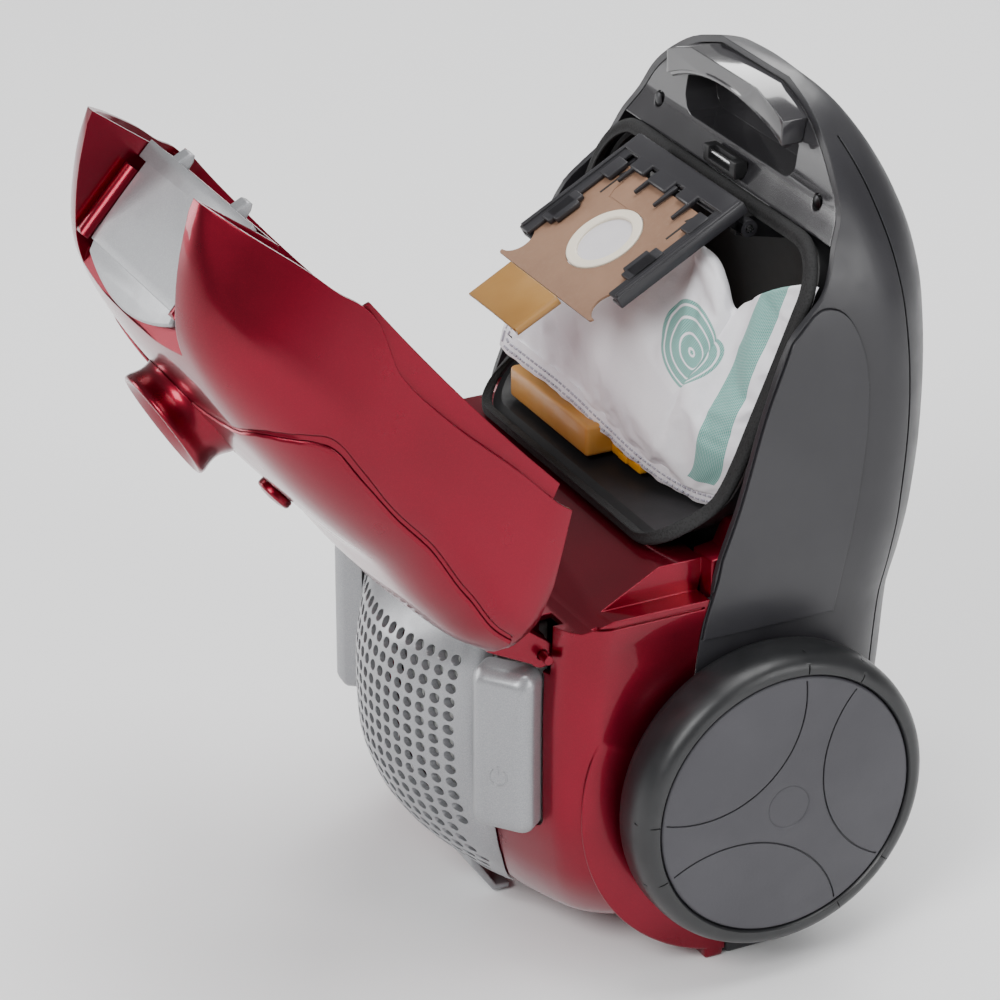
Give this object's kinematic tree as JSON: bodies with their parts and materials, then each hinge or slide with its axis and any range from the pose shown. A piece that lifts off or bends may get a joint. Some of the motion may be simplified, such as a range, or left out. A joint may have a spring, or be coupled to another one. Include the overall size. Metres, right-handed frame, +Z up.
{
  "type": "canister vacuum cleaner",
  "caption": "Bagged canister vacuum cleaner parked upright with its lid open, showing the dust bag, its card holder and the filter.",
  "frame": {"origin": "centre of the bounding box's footprint, on the surface that the machine is parked on", "axes": "+Z up when parked, from the wheels towards the carry handle; +Y towards the machine's underside; -Y towards the lid; +X along the wheel axle, towards the machine's right wheel"},
  "size_m": [0.3, 0.3922, 0.4373],
  "materials": {
    "red_gloss": "deep metallic cherry red with clear gloss",
    "dark_grey": "fine satin moulded plastic",
    "panel_grey": "satin moulded plastic, a shade lighter",
    "deck_gloss": "polished dark plastic",
    "black_plastic": "matte black moulded plastic",
    "seal_foam": "closed-cell foam gasket",
    "tyre_rubber": "smooth soft rubber",
    "wheel_grey": "fine textured grey plastic",
    "silver_paint": "silver metallic paint on plastic",
    "steel": "bright zinc-plated steel",
    "kraft_card": "brown kraft board",
    "amber_plastic": "amber foam and flexible plastic",
    "cream_ring": "cream moulded ring",
    "bag_fleece": "white non-woven fleece with a teal band",
    "filter_paper": "pleated white filter paper",
    "copper_core": "wound copper and laminations",
    "aluminium": "turned aluminium"
  },
  "bodies": {
    "root": {"rear_shell": "red_gloss", "lower_chassis": "dark_grey", "side_panel_left": "panel_grey", "side_panel_right": "panel_grey", "front_deck": "deck_gloss", "carry_handle": "deck_gloss", "deck_screw_left": "steel", "deck_screw_right": "steel", "latch_keeper": "black_plastic", "chamber_liner": "black_plastic", "chamber_seal": "seal_foam", "dust_bag": "bag_fleece", "pre_motor_filter": "amber_plastic", "hepa_filter": "filter_paper", "cord_outlet": "black_plastic", "motor_housing": "black_plastic", "motor_core": "copper_core", "reel_spindle": "steel", "holder_pin_left": "steel", "holder_pin_right": "steel", "lid_hinge_pin_left": "steel", "lid_hinge_pin_right": "steel", "pedal_spring_left": "steel", "pedal_spring_right": "steel", "wheel_axle_left": "steel", "wheel_axle_right": "steel"},
    "lid": {"lid_shell": "red_gloss", "lid_top_panel": "red_gloss", "hose_port_ring": "red_gloss", "inlet_nozzle": "black_plastic", "bag_full_indicator": "red_gloss", "lever_bolt_left": "steel", "lever_bolt_right": "steel"},
    "lever": {"release_lever": "silver_paint"},
    "holder": {"bag_holder_frame": "dark_grey"},
    "card": {"bag_card": "kraft_card", "card_ring": "cream_ring", "card_tab": "amber_plastic"},
    "grille": {"exhaust_grille": "silver_paint"},
    "clip": {"grille_clip": "silver_paint"},
    "power_pedal": {"power_pedal": "silver_paint"},
    "rewind_pedal": {"cord_rewind_pedal": "silver_paint"},
    "wheel_left": {"tyre_left": "tyre_rubber", "wheel_disc_left": "wheel_grey"},
    "wheel_right": {"tyre_right": "tyre_rubber", "wheel_disc_right": "wheel_grey"},
    "caster": {"caster_fork": "black_plastic", "caster_axle": "steel"},
    "caster_wheel": {"caster_wheel": "wheel_grey"},
    "rotor": {"motor_impeller": "aluminium"},
    "reel": {"cord_reel_drum": "black_plastic"}
  },
  "joints": [
    {"name": "lid_hinge", "type": "hinge", "parent": "root", "child": "lid", "pos_m": [0, -0.02587, 0.184], "axis": [-1, 0, 0], "range_deg": [0, 65]},
    {"name": "lever_pivot", "type": "hinge", "parent": "lid", "child": "lever", "pos_m": [0, -0.17977, 0.37217], "axis": [1, 0, 0], "range_deg": [0, 6], "stiffness_Nm_per_rad": 0.6, "springref_deg": -4.58},
    {"name": "holder_hinge", "type": "hinge", "parent": "root", "child": "holder", "pos_m": [0, 0.11013, 0.361], "axis": [1, 0, 0], "range_deg": [0, 28.7]},
    {"name": "card_slide", "type": "slide", "parent": "holder", "child": "card", "axis": [0, 0.8746, 0.4848], "range_m": [0, 0.012]},
    {"name": "grille_hinge", "type": "hinge", "parent": "root", "child": "grille", "pos_m": [0, -0.02587, 0.1915], "axis": [-1, 0, 0], "range_deg": [0, 18]},
    {"name": "clip_flex", "type": "hinge", "parent": "grille", "child": "clip", "pos_m": [0, -0.02087, 0.0225], "axis": [-1, 0, 0], "range_deg": [0, 6], "stiffness_Nm_per_rad": 0.4, "springref_deg": -2.86},
    {"name": "power_press", "type": "slide", "parent": "root", "child": "power_pedal", "axis": [-0.6225, 0.7826, 0], "range_m": [0, 0.005], "stiffness_N_per_m": 400, "springref_m": -0.004},
    {"name": "rewind_press", "type": "slide", "parent": "root", "child": "rewind_pedal", "axis": [0.6225, 0.7826, 0], "range_m": [0, 0.005], "stiffness_N_per_m": 400, "springref_m": -0.004},
    {"name": "wheel_left_spin", "type": "hinge", "parent": "root", "child": "wheel_left", "pos_m": [-0.134, 0.08313, 0.099], "axis": [1, 0, 0], "continuous": true},
    {"name": "wheel_right_spin", "type": "hinge", "parent": "root", "child": "wheel_right", "pos_m": [0.134, 0.08313, 0.099], "axis": [1, 0, 0], "continuous": true},
    {"name": "caster_swivel", "type": "hinge", "parent": "root", "child": "caster", "pos_m": [0, 0.16963, 0.383], "axis": [0, 1, 0], "continuous": true},
    {"name": "caster_roll", "type": "hinge", "parent": "caster", "child": "caster_wheel", "pos_m": [0, 0.18413, 0.3745], "axis": [1, 0, 0], "continuous": true},
    {"name": "motor_spin", "type": "hinge", "parent": "root", "child": "rotor", "pos_m": [0.042, 0.06313, 0.159], "axis": [0, 0, 1], "continuous": true},
    {"name": "reel_spin", "type": "hinge", "parent": "root", "child": "reel", "pos_m": [-0.074, 0.07113, 0.095], "axis": [1, 0, 0], "continuous": true}
  ],
  "couplings": [
    {"joint": "holder_hinge", "follows": "lid_hinge", "ratio": 0.4415}
  ]
}
